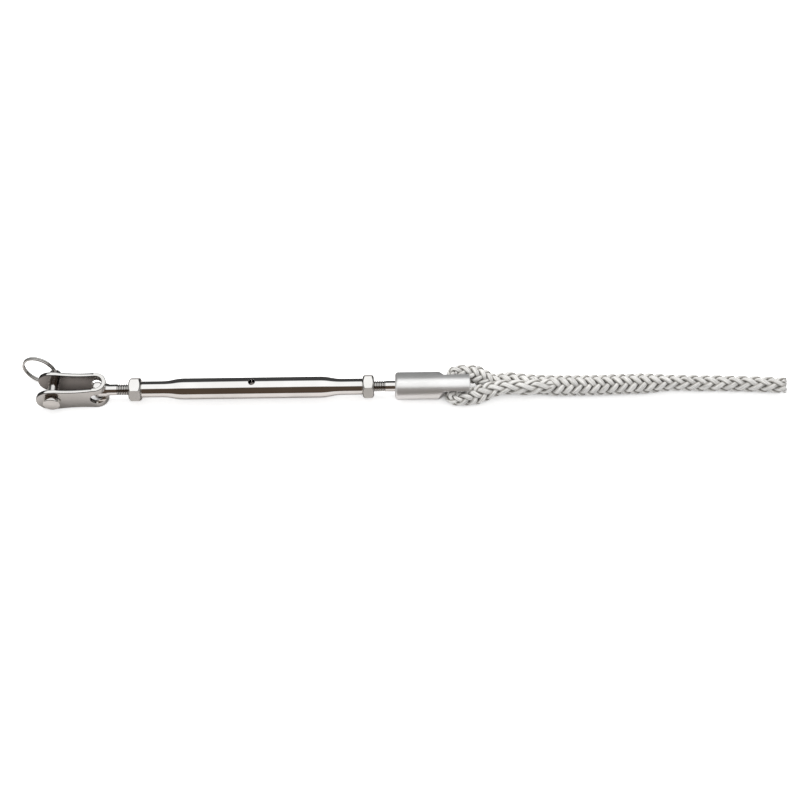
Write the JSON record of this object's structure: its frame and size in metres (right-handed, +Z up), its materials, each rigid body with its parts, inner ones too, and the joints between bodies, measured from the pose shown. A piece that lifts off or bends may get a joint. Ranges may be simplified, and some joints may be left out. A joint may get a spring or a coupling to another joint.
{
  "type": "shroud adjuster",
  "caption": "Closed-body rigging screw: a strap toggle with clevis pin and split ring at one end, and a terminal with a spliced rope at the other, to tension a shroud.",
  "frame": {"origin": "middle of the tommy-bar hole, which is the middle of the barrel on the screw axis", "axes": "+X along the screw axis from the toggle towards the rope, +Y along the clevis pin from its head to its ring, +Z up along the tommy-bar hole"},
  "size_m": [0.5549, 0.0352, 0.0258],
  "materials": {
    "strap_steel": "satin",
    "pin_steel": "satin",
    "ring_steel": "polished",
    "stud_steel": "polished",
    "nut_steel": "polished",
    "barrel_chrome": "mirror polished",
    "terminal_satin": "satin grey",
    "rope_fibre": "matt braid"
  },
  "bodies": {
    "rope_side": {"rope_terminal": "terminal_satin", "terminal_stud": "stud_steel", "spliced_rope": "rope_fibre"},
    "right_nut": {"right_lock_nut": "nut_steel"},
    "barrel": {"turnbuckle_barrel": "barrel_chrome"},
    "left_nut": {"left_lock_nut": "nut_steel"},
    "stud": {"toggle_stud": "stud_steel"},
    "strap": {"toggle_strap": "strap_steel"},
    "pin": {"clevis_pin": "pin_steel"},
    "ring": {"split_ring": "ring_steel"}
  },
  "joints": [
    {"name": "toggle_stud_run", "type": "slide", "parent": "rope_side", "child": "stud", "axis": [-1, 0, 0], "range_m": [-0.015, 0.06]},
    {"name": "right_nut_run", "type": "slide", "parent": "rope_side", "child": "right_nut", "axis": [-1, 0, 0], "range_m": [-0.0075, 0.03]},
    {"name": "barrel_turn", "type": "hinge", "parent": "right_nut", "child": "barrel", "pos_m": [0, 0, 0], "axis": [1, 0, 0], "range_deg": [-2160.1, 8640.1]},
    {"name": "left_nut_turn", "type": "hinge", "parent": "barrel", "child": "left_nut", "pos_m": [-0.0845, 0, 0], "axis": [1, 0, 0], "continuous": true},
    {"name": "toggle_swing", "type": "hinge", "parent": "stud", "child": "strap", "pos_m": [-0.11135, 0, 0], "axis": [0, 0, 1], "range_deg": [-90, 90]},
    {"name": "pin_turn", "type": "hinge", "parent": "strap", "child": "pin", "pos_m": [-0.1442, 0, 0], "axis": [0, 1, 0], "continuous": true},
    {"name": "ring_swing", "type": "hinge", "parent": "pin", "child": "ring", "pos_m": [-0.1442, 0.01339, 0], "axis": [-0.2542, 0, -0.9671], "range_deg": [-17, 163]}
  ],
  "couplings": [
    {"joint": "right_nut_run", "follows": "toggle_stud_run", "ratio": 0.5},
    {"joint": "barrel_turn", "follows": "toggle_stud_run", "rad_per_m": 2513.3}
  ]
}
